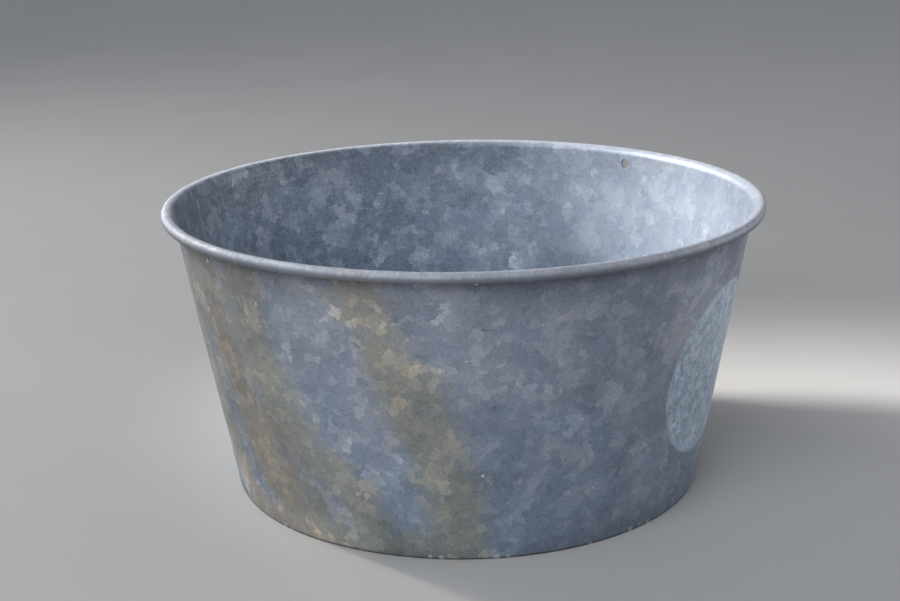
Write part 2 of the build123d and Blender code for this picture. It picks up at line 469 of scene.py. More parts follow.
def lathe(name, outline_at, columns, material, sharp_degrees):
    """Closed ring: outline_at(angle) gives the section points there, the same number each time."""
    vertices = []
    faces = []
    count = len(outline_at(0.0))
    for c in range(columns):
        angle = 2 * math.pi * c / columns
        vertices += [on_circle(angle, radius, height) for radius, height in outline_at(angle)]
        faces += quads(numbers(c, count), numbers((c + 1) % columns, count))
    return mesh_object(name, vertices, faces, material, sharp_degrees)


def panel_sag(radius, angle):
    """The bottom sheet isn't quite flat: it is oil-canned by up to a millimetre."""
    place = on_circle(angle, radius / RIM_RADIUS, 0.0)
    free = 1 - smooth(radius, bend_centre[0] - 45 * MM, bend_centre[0] - 2 * MM)
    slow = noise.noise(place * 2.2 + Vector((5.3, 2.8, 0.9)))
    quick = noise.noise(place * 7.0 + Vector((1.7, 8.8, 4.2)))
    return (PANEL_SWELL * slow + PANEL_RIPPLE * quick) * free


def make_bottom_panel(material):
    """Flanged disc, as two skins from the middle outwards that meet at the foot of the flange."""
    underside = fold_offset - SHEET / 2
    turn = 90 + LEAN_DEGREES
    radii = spread(9 * MM, bend_centre[0], 11 * MM)[:-1]
    rolled_top = arc(bend_centre, BOTTOM_BEND + SHEET, 90, -turn, 6)
    rolled_under = arc(bend_centre, BOTTOM_BEND, -LEAN_DEGREES, turn, 5)
    flange_foot = [wall_point(fold_up, underside + SHEET), wall_point(fold_up, underside)]
    vertices = []
    faces = []
    columns = PANEL_COLUMNS
    for c in range(columns):
        angle = 2 * math.pi * c / columns
        top = [(r, panel_top + panel_sag(r, angle)) for r in radii]
        under = [(r, height - SHEET) for r, height in reversed(top)]
        outline = top + rolled_top + flange_foot + rolled_under + under
        vertices += [on_circle(angle, radius, height) for radius, height in outline]
    count = len(vertices) // columns
    for c in range(columns):
        faces += quads(numbers(c, count), numbers((c + 1) % columns, count), closed=False)
    middle_height = panel_top + panel_sag(0.0, 0.0)
    for row, height in ((0, middle_height), (count - 1, middle_height - SHEET)):
        vertices.append(Vector((0.0, 0.0, height)))
        for c in range(columns):
            after = (c + 1) % columns
            faces.append((c * count + row, after * count + row, len(vertices) - 1))
    return mesh_object("bottom_panel", vertices, faces, material)


def bottom_fillet(angle):
    """Section of the hand-run solder in the corner: its reach and its dish wander."""
    place = on_circle(angle, 1.0, 0.0)
    climb = SOLDER_REACH * (0.92 + 0.26 * noise.noise(place * 9.0) + 0.12 * noise.noise(place * 31.0))
    run_in = SOLDER_REACH * (0.9 + 0.3 * noise.noise(place * 7.0 + Vector((4.0, 1.0, 2.0))))
    dish = 0.5 * MM * (1 + 0.8 * noise.noise(place * 14.0 + Vector((2.0, 6.0, 3.0))))
    top = wall_at_height(panel_top + climb, -SHEET)
    corner = wall_at_height(panel_top, -SHEET)
    edge = (corner[0] - run_in, panel_top)
    face = []
    for share in (0.25, 0.5, 0.75):
        sunk = dish * 4 * share * (1 - share)
        radius = top[0] + (edge[0] - top[0]) * share + sunk * 0.7
        height = top[1] + (edge[1] - top[1]) * share - sunk * 0.7
        face.append((radius, height))
    groove_height = bend_centre[1]
    groove = [
        (bend_centre[0], panel_top - 0.05 * MM),
        (bend_centre[0] + BOTTOM_BEND + SHEET, groove_height),
        wall_at_height(groove_height, -SHEET),
    ]
    return [top] + face + [edge] + groove


def seam_point(up, out, across):
    radius, height = wall_point(up, out)
    angle = SEAM_AZIMUTH - across / radius
    return on_circle(angle, radius + stray(angle, height), height)


def make_side_solder(material):
    """Solder run down the inside of the side seam, flush but for a low uneven crown."""
    foot = up_at_height(panel_top + 0.8 * SOLDER_REACH, -SHEET)
    ups = spread(foot, seam_end, 2.2 * MM)
    shares = [-1.0, -0.86, -0.62, -0.3, 0.0, 0.3, 0.62, 0.86, 1.0]
    vertices = []
    for up in ups:
        spot = Vector((up * 60.0, 3.0, 1.0))
        left = knee_lower * (1.12 + 0.28 * noise.noise(spot))
        right = knee_lower * (1.12 + 0.28 * noise.noise(spot + Vector((0.0, 7.0, 0.0))))
        crown = SEAM_CROWN * (0.8 + 0.5 * noise.noise(spot * 0.7 + Vector((0.0, 0.0, 5.0))))
        for share in shares:
            across = share * (left if share < 0 else right)
            out = -SHEET - crown * (1 - share * share) + 0.03 * MM * abs(share)
            vertices.append(seam_point(up, out, across))
        for share in reversed(shares):
            across = share * knee_lower
            vertices.append(seam_point(up, -SHEET + groove_depth(across) + 0.04 * MM, across))
    count = 2 * len(shares)
    faces = [tuple(numbers(0, count)), tuple(reversed(numbers(len(ups) - 1, count)))]
    for row in range(len(ups) - 1):
        faces += quads(numbers(row, count), numbers(row + 1, count))
    return mesh_object("side_solder", vertices, faces, material, SOLDER_SHARP_DEGREES)


# ---- short calls for building node materials -----------------------------------------------------
class Material:
    """A node material under construction, with short calls for the nodes used here."""

    def __init__(self, name):
        self.material = bpy.data.materials.new(name)
        self.material.use_nodes = True
        self.tree = self.material.node_tree
        self.shader = self.tree.nodes["Principled BSDF"]
        coordinates = self.tree.nodes.new("ShaderNodeTexCoord")
        self.place = coordinates.outputs["Object"]

    def node(self, kind, **inputs):
        made = self.tree.nodes.new(kind)
        for name, value in inputs.items():
            self.set(made.inputs[name], value)
        return made

    def set(self, socket, value):
        if isinstance(value, bpy.types.NodeSocket):
            self.tree.links.new(value, socket)
        else:
            socket.default_value = value

    def maths(self, operation, *values):
        made = self.tree.nodes.new("ShaderNodeMath")
        made.operation = operation
        for socket, value in zip(made.inputs, values):
            self.set(socket, value)
        return made.outputs[0]

    def plus(self, first, second):
        return self.maths("ADD", first, second)

    def times(self, first, second):
        return self.maths("MULTIPLY", first, second)

    def all_but(self, share):
        return self.maths("SUBTRACT", 1.0, share)

    def vector(self, operation, *values):
        made = self.tree.nodes.new("ShaderNodeVectorMath")
        made.operation = operation
        sockets = list(made.inputs)
        if operation == "SCALE":
            sockets = [made.inputs[0], made.inputs["Scale"]]
        for socket, value in zip(sockets, values):
            self.set(socket, value)
        return made.outputs["Value" if operation in ("DISTANCE", "LENGTH", "DOT_PRODUCT") else "Vector"]

    def value(self, name):
        made = self.tree.nodes.new("ShaderNodeAttribute")
        made.attribute_name = name
        return made.outputs["Fac"]

    def noise(self, place, size, detail, roughness, output="Fac"):
        made = self.node("ShaderNodeTexNoise", Vector=place, Scale=1 / size)
        self.set(made.inputs["Detail"], detail)
        self.set(made.inputs["Roughness"], roughness)
        return made.outputs[output]

    def crystals(self, place, size, softness):
        """Soft-edged crystals of about that size: three random numbers, and the centre, of each."""
        made = self.node("ShaderNodeTexVoronoi", Vector=place, Scale=1 / size)
        made.feature = "SMOOTH_F1"
        self.set(made.inputs["Smoothness"], softness)
        return made.outputs["Color"], made.outputs["Position"]

    def parts(self, shade):
        """The three numbers of a colour."""
        return self.node("ShaderNodeSeparateColor", Color=shade).outputs

    def total(self, *terms):
        """Sum of (weight, value) terms, each taken about its middle of one half."""
        result = 0.0
        for weight, value in terms:
            about_zero = self.maths("SUBTRACT", value, 0.5)
            result = self.plus(result, self.times(about_zero, weight))
        return result

    def warped(self, place, size, reach, detail=2.0):
        """Places shifted about by up to roughly that reach, so that straight borders wander."""
        push = self.vector("SUBTRACT", self.noise(place, size, detail, 0.6, "Color"), (0.5, 0.5, 0.5))
        return self.vector("ADD", place, self.vector("SCALE", push, reach))

    def scaled(self, place, x, y, z):
        return self.vector("MULTIPLY", place, (x, y, z))

    def axis(self, name):
        """One coordinate of the place: X, Y or Z."""
        return self.node("ShaderNodeSeparateXYZ", Vector=self.place).outputs[name]

    def remap(self, value, low, high, to_low=0.0, to_high=1.0):
        """Eased step of a value from low..high to to_low..to_high."""
        made = self.tree.nodes.new("ShaderNodeMapRange")
        made.interpolation_type = "SMOOTHSTEP"
        for socket, number in zip(made.inputs, (value, low, high, to_low, to_high)):
            self.set(socket, number)
        return made.outputs["Result"]

    def mix(self, share, first, second, blend="MIX"):
        made = self.tree.nodes.new("ShaderNodeMix")
        made.data_type = "RGBA"
        made.blend_type = blend
        colours = {s.identifier: s for s in made.inputs}
        self.set(colours["Factor_Float"], share)
        self.set(colours["A_Color"], colour(first))
        self.set(colours["B_Color"], colour(second))
        return {s.identifier: s for s in made.outputs}["Result_Color"]

    def ramp(self, value, stops):
        made = self.tree.nodes.new("ShaderNodeValToRGB")
        elements = made.color_ramp.elements
        while len(elements) < len(stops):
            elements.new(0.5)
        for element, (position, shade) in zip(elements, stops):
            element.position = position
            element.color = colour(shade)
        self.set(made.inputs["Fac"], value)
        return made.outputs["Color"]


def colour(value):
    """Three numbers become an opaque colour; a socket passes through."""
    if isinstance(value, tuple):
        return (*value, 1.0)
    return value


# ---- stains, marks and painted sheen, as strokes and spots placed by azimuth in degrees and height in mm ---
# A stroke is (path, half width in mm, strength).
OLIVE_STROKES = [
    ([(-150, 248), (-147, 205), (-144, 150), (-141, 100), (-136, 55), (-126, 22)], 46.0, 0.95),
    ([(-159, 200), (-158, 120), (-156, 60), (-150, 10)], 40.0, 0.9),
    ([(-109, 248), (-106, 210), (-103, 172)], 30.0, 0.8),
    ([(-103, 172), (-99, 138), (-96, 105), (-93, 50), (-92, 6)], 33.0, 1.0),
    ([(-150, 10), (-132, 8), (-112, 8), (-94, 8)], 22.0, 0.8),
    ([(-134, 240), (-135, 190), (-134, 155), (-130, 120), (-126, 92)], 33.0, 0.95),
    ([(-127, 90), (-120, 74), (-115, 53), (-111, 28), (-110, 6)], 28.0, 0.9),
    ([(-145, 238), (-128, 236), (-112, 238)], 16.0, 0.45),
]
RUST_STROKES = [
    ([(-147, 190), (-144, 130), (-142, 92), (-138, 50), (-136, 20)], 25.0, 0.9),
    ([(-156, 60), (-148, 26), (-136, 8), (-126, 4)], 22.0, 0.9),
    ([(-142, 124), (-133, 98), (-130, 55), (-134, 22)], 30.0, 0.75),
    ([(-109, 205), (-104, 160), (-100, 125)], 12.0, 0.45),
]
# Pale patches: partly the zinc's own paler tone, partly a painted sheen of the light glancing off the
# front.
PALE_AND_SHEEN_STROKES = [
    ([(-117, 224), (-113, 190), (-112, 150), (-111, 108), (-107, 82)], 34.0, 0.9),
    ([(-98, 236), (-94, 200), (-91, 178)], 34.0, 1.0),
    ([(-131, 150), (-113, 185)], 28.0, 0.6),
    ([(-77, 190), (-70, 125)], 42.0, 0.35),
    ([(-124, 135), (-120, 100), (-116, 62)], 22.0, 0.9),
    ([(-119, 205), (-100, 196), (-84, 190)], 40.0, 0.8),
    ([(-154, 24), (-140, 12), (-126, 8), (-118, 6)], 24.0, 1.0),
    ([(-38, 225), (-40, 180)], 26.0, 0.5),
]
# The wall is unrolled as if it had this radius all the way up.
MID_RADIUS_MM = 240.0


def unrolled(azimuth_degrees, height_mm):
    return Vector((math.radians(azimuth_degrees) * MID_RADIUS_MM, height_mm))


def distance_to_line(place, start, end):
    along = end - start
    t = min(max((place - start).dot(along) / along.length_squared, 0.0), 1.0)
    return (place - start - along * t).length


def stroke_share(strokes, place):
    """How strongly unrolled strokes cover a place, fading out from their middles."""
    share = 0.0
    for points, half_width, strength in strokes:
        nearest = min(distance_to_line(place, a, b) for a, b in zip(points, points[1:]))
        share = max(share, strength * (1 - smooth(nearest, 0.0, 1.5 * half_width)))
    return share


def paint_stains_and_sheen(wall):
    """Stores the strokes on the outside of the wall: stains, and pale patches that are partly painted
    sheen.
    """
    outside = [0.0] * len(wall.data.vertices)
    wall.data.attributes["outside"].data.foreach_get("value", outside)
    places = []
    for vertex in wall.data.vertices:
        azimuth_degrees = math.degrees(math.atan2(vertex.co.y, vertex.co.x))
        places.append(unrolled(azimuth_degrees, vertex.co.z / MM))
    layers = (("olive", OLIVE_STROKES), ("rust", RUST_STROKES), ("pale", PALE_AND_SHEEN_STROKES))
    for name, strokes in layers:
        laid_out = []
        for path, half_width, strength in strokes:
            laid_out.append(([unrolled(*point) for point in path], half_width, strength))
        shares = []
        for place, out in zip(places, outside):
            shares.append(stroke_share(laid_out, place) if out > 0.5 else 0.0)
        keep_values(wall, name, shares)


def on_wall(azimuth_degrees, height_mm, out=0.0):
    radius, height = wall_at_height(height_mm * MM, out)
    return on_circle(math.radians(azimuth_degrees), radius, height)


# Spots are (azimuth, height, radius), dark lines (azimuth, height, azimuth, height, half width) and
# pale flakes (azimuth, height, half width, half height). Sizes are in mm.
WHITE_SPOTS = [
    (-144.5, 239, 1.3), (-131, 214, 1), (-146, 109, 0.9), (-87, 80, 1.3), (-63, 56, 1),
    (-86, 76, 0.7), (-88, 247, 1.6), (-79, 247, 1.2),
]
CEMENT_SPOTS = [
    (-137, 1.8, 2.2), (-134.5, 1.6, 1.6), (-98.5, 2.6, 1.8), (-96, 2, 2.2), (-84, 2.4, 3),
    (-81.5, 2, 1.8), (-62, 1.5, 1.6), (-50.5, 2.2, 2.4), (-47.5, 3.2, 1.4), (-44.5, 1.6, 2),
]
DARK_LINES = [
    (-84.8, 141.0, -82.7, 142.4, 0.9), (-86.9, 208.6, -85.2, 207.4, 0.7),
    (-111.2, 217.5, -109.9, 210.0, 0.5), (-109.9, 210.0, -109.2, 197.1, 0.5),
    (-91.8, 124.6, -91.3, 122.8, 0.9),
]
PALE_FLAKES = [
    (20, 199, 6, 11), (76.5, 131, 7, 12), (86.5, 144, 5, 5), (82, 211, 11, 13), (117, 204, 9, 12),
    (92, 228, 7, 11), (115.5, 166, 6, 14), (101.5, 136, 12, 9), (126.5, 214, 12, 14),
    (74.5, 217, 7, 10), (57, 228, 6, 8), (-42, 58, 4, 13), (121, 190, 8, 15), (-57.5, 95, 9, 11),
    (-62.5, 136, 10, 13), (-69, 118, 8, 9),
]
PIT_SPOTS = [
    (84, 202.8, 1.1), (83.2, 202.2, 0.8), (76.8, 204.4, 1.1), (75.9, 204.8, 0.9), (68.8, 205, 1.2),
    (68, 204.4, 1.4), (67.1, 204.6, 1), (137.4, 186, 1), (70.4, 206, 0.8),
]

PALE_MARK_AZIMUTH_DEGREES = -26.7
PALE_MARK_HEIGHT_MM = 127
PALE_MARK_RADIUS = 78.5 * MM
PALE_MARK_SOFTNESS = 1.0 * MM


def highest(m, values):
    result = values[0]
    for value in values[1:]:
        result = m.maths("MAXIMUM", result, value)
    return result


def spots(m, listed, out=0.0):
    """Small marks with ragged edges."""
    ragged = m.warped(m.place, 2.2 * MM, 3.6 * MM)
    shares = []
    for azimuth, height, radius in listed:
        reach = m.vector("DISTANCE", ragged, tuple(on_wall(azimuth, height, out)))
        shares.append(m.remap(reach, 0.6 * radius * MM, 1.2 * radius * MM, 1.0, 0.0))
    return highest(m, shares)


def scratches(m, listed):
    """Dark scuffs along short lines, broken up and with ragged edges."""
    ragged = m.warped(m.place, 3 * MM, 4 * MM)
    broken = m.remap(m.noise(m.place, 2 * MM, 2.0, 0.6), 0.42, 0.56)
    shares = []
    for first_azimuth, first_height, last_azimuth, last_height, half_width in listed:
        start = on_wall(first_azimuth, first_height)
        along = on_wall(last_azimuth, last_height) - start
        from_start = m.vector("SUBTRACT", ragged, tuple(start))
        share = m.vector("DOT_PRODUCT", from_start, tuple(along / along.length_squared))
        share = m.maths("MINIMUM", m.maths("MAXIMUM", share, 0.0), 1.0)
        reach = m.vector("DISTANCE", from_start, m.vector("SCALE", tuple(along), share))
        shares.append(m.remap(reach, 0.5 * half_width * MM, 1.8 * half_width * MM, 1.0, 0.0))
    return m.times(highest(m, shares), broken)


def flakes_at(m, crystal_centre, listed):
    """Groups of whole crystals, chosen by whether their centres lie in the listed flakes."""
    shares = []
    for azimuth, height, half_width, half_height in listed:
        out = -SHEET if azimuth > 0 else 0.0
        away = m.vector("SUBTRACT", crystal_centre, tuple(on_wall(azimuth, height, out)))
        squashed = m.scaled(away, 1 / half_width / MM, 1 / half_width / MM, 1 / half_height / MM)
        shares.append(m.remap(m.vector("LENGTH", squashed), 0.75, 1.1, 1.0, 0.0))
    return highest(m, shares)


# ---- the materials -------------------------------------------------------------------------------
CRYSTAL_SIZE = 7.5 * MM
CLUSTER_SIZE = 27 * MM
CRYSTAL_TILT = 0.05


def zinc_pattern(m):
    """Crystal pattern shared by every galvanised surface."""
    wander = m.warped(m.place, 12 * MM, 15 * MM, 3.0)
    place = m.warped(wander, 3.5 * MM, 4 * MM)
    shade, spot = m.crystals(place, CRYSTAL_SIZE, 0.12)
    parts = m.parts(shade)
    clusters = m.noise(spot, CLUSTER_SIZE, 1.5, 0.5)
    return {
        "spot": spot,
        "shade": shade,
        "one": parts[0],
        "islands": m.remap(clusters, 0.55, 0.61),
        "hollows": m.remap(clusters, 0.45, 0.38),
        "flakes": m.remap(parts[1], 0.76, 0.88),
        "cloud": m.noise(m.place, 100 * MM, 3.0, 0.5),
        "patches": m.noise(wander, 34 * MM, 3.0, 0.6),
        "mottle": m.noise(m.place, 8 * MM, 3.0, 0.6),
        "grain": m.noise(m.place, 2.2 * MM, 2.0, 0.75),
    }


def tone_of(m, pattern, **weights):
    """Lightness about zero: the weighted sum of the pattern's parts."""
    terms = [(0.04, pattern["one"]), (0.30, pattern["cloud"])]
    terms += [(weight, pattern[name]) for name, weight in weights.items()]
    return m.total(*terms)


def zinc_surface(m, pattern, tone, contrast):
    """Colour ramp, gloss and the slight tilt of each crystal."""
    value = m.plus(m.times(tone, contrast), 0.5)
    base = m.ramp(value, [
        (0.0, (0.100, 0.118, 0.153)),
        (0.35, (0.215, 0.250, 0.318)),
        (0.55, (0.290, 0.328, 0.405)),
        (0.78, (0.395, 0.432, 0.508)),
        (1.0, (0.560, 0.592, 0.655)),
    ])
    climb = m.times(m.maths("SUBTRACT", m.axis("Z"), HEIGHT / 2), 4.5)
    warmth = m.total((0.35, pattern["islands"]), (2.0, m.noise(m.place, 46 * MM, 3.0, 0.55)))
    warmth = m.remap(m.plus(warmth, climb), -0.8, 0.8)
    base = m.mix(1.0, base, m.mix(warmth, (0.955, 1.0, 1.015), (1.055, 1.0, 0.965)), "MULTIPLY")
    geometry = m.tree.nodes.new("ShaderNodeNewGeometry")
    lean = m.vector("SUBTRACT", pattern["shade"], (0.5, 0.5, 0.5))
    lean = m.vector("SCALE", lean, CRYSTAL_TILT)
    tilted = m.vector("NORMALIZE", m.vector("ADD", geometry.outputs["Normal"], lean))
    bump = m.node("ShaderNodeBump", Strength=0.35, Distance=0.25 * MM, Normal=tilted)
    m.set(bump.inputs["Height"], pattern["grain"])
    m.set(m.shader.inputs["Normal"], bump.outputs["Normal"])
    rough = m.remap(value, 0.1, 0.9, 0.60, 0.48)
    return base, rough


def wall_tone(m, pattern, outside, inside):
    """Lightness of the wall: streaked and scoured inside, with the largest pale crystals placed, and
    pale patches outside that are partly paler zinc and partly painted sheen.
    """
    outer = tone_of(
        m, pattern, islands=0.13, hollows=-0.07, flakes=0.11, patches=0.22, mottle=0.22, grain=0.46
    )
    inner = tone_of(
        m, pattern, islands=0.13, hollows=-0.07, flakes=0.11, patches=0.12, mottle=0.16, grain=0.60
    )
    streaks = m.noise(m.scaled(m.place, 1.0, 1.0, 0.07), 9 * MM, 3.0, 0.6)
    scours = m.noise(m.scaled(m.place, 0.1, 0.1, 1.0), 2.2 * MM, 2.0, 0.6)
    inner = m.plus(inner, m.total((0.14, streaks), (0.16, scours)))
    inner = m.times(inner, m.remap(m.axis("X"), -0.8 * RIM_RADIUS, 0.9 * RIM_RADIUS, 1.45, 0.6))
    tone = m.plus(m.times(outer, outside), m.times(inner, inside))
    # Pale strokes lighten the outside: partly paler zinc, partly painted sheen.
    pale = m.value("pale")
    tone = m.plus(tone, m.times(pale, 0.18))
    tone = m.plus(tone, m.times(m.times(pattern["flakes"], pale), 0.08))
    return m.plus(tone, m.times(flakes_at(m, pattern["spot"], PALE_FLAKES), 0.19))


def with_stains(m, pattern, base):
    """Olive stains and their rust-tinged parts, ragged along the crystals and drawn down in drips."""
    drips = m.noise(m.scaled(m.place, 1.0, 1.0, 0.16), 6 * MM, 3.0, 0.6)
    raggedness = m.total(
        (0.8, pattern["patches"]), (0.4, pattern["mottle"]), (0.14, pattern["one"]), (0.8, drips)
    )
    olive = m.remap(m.plus(m.value("olive"), raggedness), 0.06, 0.94)
    olive = m.times(olive, m.remap(pattern["one"], 0.0, 1.0, 0.80, 1.0))
    rust = m.remap(m.plus(m.value("rust"), raggedness), 0.25, 0.95)
    base = m.mix(olive, base, (1.20, 1.02, 0.725), "MULTIPLY")
    return m.mix(rust, base, (1.07, 0.955, 0.885), "MULTIPLY")


def with_pale_mark(m, pattern, base, outside):
    """The round mark: chalky, speckled dark and light, and a little darker along its edge."""
    wander = m.warped(m.place, 25 * MM, 4 * MM)
    mark_centre = on_wall(PALE_MARK_AZIMUTH_DEGREES, PALE_MARK_HEIGHT_MM)
    reach = m.vector("DISTANCE", wander, tuple(mark_centre))
    within = PALE_MARK_RADIUS - PALE_MARK_SOFTNESS
    beyond = PALE_MARK_RADIUS + PALE_MARK_SOFTNESS
    mark = m.remap(reach, within, beyond, 1.0, 0.0)
    drawn = m.scaled(m.place, 1.0, 1.0, 0.5)
    clouds = m.remap(m.noise(drawn, 7 * MM, 4.0, 0.7), 0.32, 0.68)
    dark_specks = m.remap(m.noise(drawn, 2.6 * MM, 3.0, 0.8), 0.50, 0.35)
    light_specks = m.remap(m.noise(drawn, 3.1 * MM, 3.0, 0.8), 0.56, 0.68)
    edge = m.remap(reach, PALE_MARK_RADIUS - 7 * MM, PALE_MARK_RADIUS)
    chalk = m.mix(clouds, (0.31, 0.38, 0.47), (0.57, 0.67, 0.79))
    chalk = m.mix(dark_specks, chalk, (0.17, 0.22, 0.29))
    chalk = m.mix(light_specks, chalk, (0.66, 0.76, 0.87))
    chalk = m.mix(m.times(edge, 0.5), chalk, (0.40, 0.46, 0.55))
    worn_through = m.remap(pattern["patches"], 0.3, 0.6, 0.6, 0.84)
    return m.mix(m.times(m.times(mark, outside), worn_through), base, chalk)


def with_painted_shade(m, pattern, base, outside, rim):
    """Painted shade under the rim, along the foot and low on the right."""
    height = m.axis("Z")
    off_rim = m.all_but(rim)
    # Painted shade: a mottled darker band under the rim, inside and out, where the rim keeps light off
    # the wall.
    under_rim = m.times(m.remap(height, HEIGHT - 45 * MM, HEIGHT - 10 * MM), off_rim)
    under_rim_shade = m.times(under_rim, m.remap(pattern["mottle"], 0.3, 0.7, 0.5, 1.0))
    # Painted shadow of the bead on the outer face, just under the rim.
    shaded = m.times(m.remap(height, HEIGHT - 22 * MM, HEIGHT - 10 * MM), m.times(outside, off_rim))
    # Painted shade along the foot, where the wall meets the floor.
    foot = m.remap(height, 16 * MM, 0.0)
    # Painted shade low on the right, where the floor beside the tub lies in shadow.
    low_right_shade = m.times(m.remap(height, 65 * MM, 5 * MM), m.remap(m.axis("X"), 10 * MM, 150 * MM))
    base = m.mix(m.times(under_rim_shade, 0.8), base, (0.62, 0.64, 0.67), "MULTIPLY")
    base = m.mix(shaded, base, (0.71, 0.71, 0.73), "MULTIPLY")
    base = m.mix(m.times(foot, 0.35), base, (0.72, 0.71, 0.70), "MULTIPLY")
    return m.mix(m.times(low_right_shade, outside), base, (0.80, 0.80, 0.81), "MULTIPLY")


def with_wear_and_painted_light(m, pattern, base, outside, rim):
    """The worn, chipped rim, also lightened as a painted highlight, with painted shade under its bead
    and a painted contact shadow along the foot.
    """
    height = m.axis("Z")
    # Painted contact shadow: a near-black line along the foot, made ragged by the mottle.
    uneven_height = m.plus(height, m.times(pattern["mottle"], 2 * MM))
    foot_contact_shadow = m.remap(uneven_height, 3.8 * MM, 2.0 * MM)
    base = m.mix(m.times(foot_contact_shadow, 0.75), base, (0.055, 0.057, 0.062))
    chipped = m.remap(m.noise(m.place, 4 * MM, 3.0, 0.7), 0.58, 0.66)
    # Painted shade on the underside of the bead, which faces the floor.
    bead_underside_shade = m.times(m.remap(height, HEIGHT - 1.5 * MM, HEIGHT - 6.5 * MM), outside)
    # The rim's own wear, made lighter as well to stand in for the highlight along its crest.
    worn_and_highlit_rim = m.mix(m.noise(m.place, 7 * MM, 4.0, 0.7), (0.15, 0.163, 0.192), (0.54, 0.555, 0.60))
    worn_and_highlit_rim = m.mix(m.times(chipped, 0.6), worn_and_highlit_rim, (0.62, 0.63, 0.65))
    worn_and_highlit_rim = m.mix(m.times(bead_underside_shade, 0.8), worn_and_highlit_rim, (0.11, 0.12, 0.145))
    return m.mix(m.times(rim, 0.8), base, worn_and_highlit_rim)


def with_specks(m, base):
    """Pits and scuffs, and specks of white and of cement."""
    lines = m.times(scratches(m, DARK_LINES), 0.7)
    pits = m.maths("MAXIMUM", spots(m, PIT_SPOTS, -SHEET), lines)
    white = spots(m, WHITE_SPOTS)
    cement = spots(m, CEMENT_SPOTS)
    base = m.mix(m.times(pits, 0.55), base, (0.045, 0.055, 0.075))
    base = m.mix(m.times(white, 0.8), base, (0.75, 0.76, 0.78))
    return m.mix(m.times(cement, 0.6), base, (0.60, 0.59, 0.58))


def wall_zinc():
    """Galvanised wall: crystals on both faces, stains and the pale round mark outside, worn rim with a
    painted highlight, and painted shade under the rim, under the bead and along the foot.
    """
    m = Material("zinc_wall")
    outside = m.value("outside")
    inside = m.all_but(outside)
    rim = m.value("rim")
    pattern = zinc_pattern(m)
    base, rough = zinc_surface(m, pattern, wall_tone(m, pattern, outside, inside), 1.15)
    base = m.mix(inside, base, (0.868, 0.886, 0.870), "MULTIPLY")
    base = with_stains(m, pattern, base)
    base = with_pale_mark(m, pattern, base, outside)
    base = with_painted_shade(m, pattern, base, outside, rim)
    base = with_wear_and_painted_light(m, pattern, base, outside, rim)
    base = with_specks(m, base)
    m.set(m.shader.inputs["Base Color"], base)
    m.set(m.shader.inputs["Roughness"], m.plus(rough, m.times(rim, 0.10)))
    metal = m.remap(m.maths("MAXIMUM", rim, inside), 0.0, 1.0, 0.55, 0.42)
    m.set(m.shader.inputs["Metallic"], metal)
    return m.material


def panel_zinc():
    """The bottom: the same zinc, dulled and scoured."""
    m = Material("zinc_bottom")
    pattern = zinc_pattern(m)
    tone = tone_of(
        m, pattern, islands=0.14, hollows=-0.08, flakes=0.12, patches=0.30, mottle=0.34, grain=0.45
    )
    scours = m.noise(m.scaled(m.place, 1.0, 0.12, 1.0), 3.0 * MM, 3.0, 0.6)
    base, rough = zinc_surface(m, pattern, m.plus(tone, m.total((0.2, scours))), 1.1)
    silt = m.remap(m.noise(m.place, 70 * MM, 4.0, 0.6), 0.45, 0.65)
    base = m.mix(m.times(silt, 0.6), base, (0.80, 0.77, 0.70), "MULTIPLY")
    m.set(m.shader.inputs["Base Color"], base)
    m.set(m.shader.inputs["Roughness"], rough)
    m.shader.inputs["Metallic"].default_value = 0.5
    return m.material


def solder_metal():
    """Hand-run solder: smooth grey with a frosted skin and small ripples."""
    m = Material("solder")
    cloud = m.noise(m.place, 11 * MM, 4.0, 0.6)
    ripple = m.noise(m.place, 3.5 * MM, 2.0, 0.5)
    base = m.ramp(cloud, [
        (0.3, (0.18, 0.195, 0.225)),
        (0.5, (0.28, 0.30, 0.335)),
        (0.7, (0.40, 0.42, 0.455)),
    ])
    bump = m.node("ShaderNodeBump", Strength=0.6, Distance=0.4 * MM, Height=ripple)
    m.set(m.shader.inputs["Base Color"], base)
    m.set(m.shader.inputs["Roughness"], m.remap(cloud, 0.3, 0.7, 0.55, 0.38))
    m.set(m.shader.inputs["Normal"], bump.outputs["Normal"])
    m.shader.inputs["Metallic"].default_value = 0.75
    return m.material


def wire_steel():
    """Drawn steel wire, dark, with a little rust."""
    m = Material("wire_steel")
    rusty = m.remap(m.noise(m.place, 6 * MM, 4.0, 0.65), 0.48, 0.66)
    base = m.mix(rusty, (0.16, 0.16, 0.17), (0.17, 0.09, 0.05))
    m.set(m.shader.inputs["Base Color"], base)
    m.set(m.shader.inputs["Roughness"], m.remap(rusty, 0.0, 1.0, 0.40, 0.80))
    m.shader.inputs["Metallic"].default_value = 0.8
    return m.material


def pale_floor():
    m = Material("pale_floor")
    cloud = m.noise(m.place, 0.35, 5.0, 0.6)
    base = m.mix(cloud, (0.40, 0.385, 0.37), (0.45, 0.435, 0.42))
    m.set(m.shader.inputs["Base Color"], base)
    m.shader.inputs["Roughness"].default_value = 0.75
    return m.material


# ---- the pieces ----------------------------------------------------------------------------------
solder = solder_metal()

wall = make_wall(wall_zinc())
paint_stains_and_sheen(wall)
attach(wall, "root")
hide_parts("wall_sheet")

bottom_panel = make_bottom_panel(panel_zinc())
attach(bottom_panel, "root")
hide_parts("bottom_disc")

bottom_solder = lathe("bottom_solder", bottom_fillet, SOLDER_COLUMNS, solder, SOLDER_SHARP_DEGREES)
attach(bottom_solder, "root")
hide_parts("bottom_seam_solder")

side_solder = make_side_solder(solder)
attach(side_solder, "root")
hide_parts("side_seam_solder")

rim_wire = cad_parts["rim_wire"]
rim_wire.data.materials.clear()
rim_wire.data.materials.append(wire_steel())


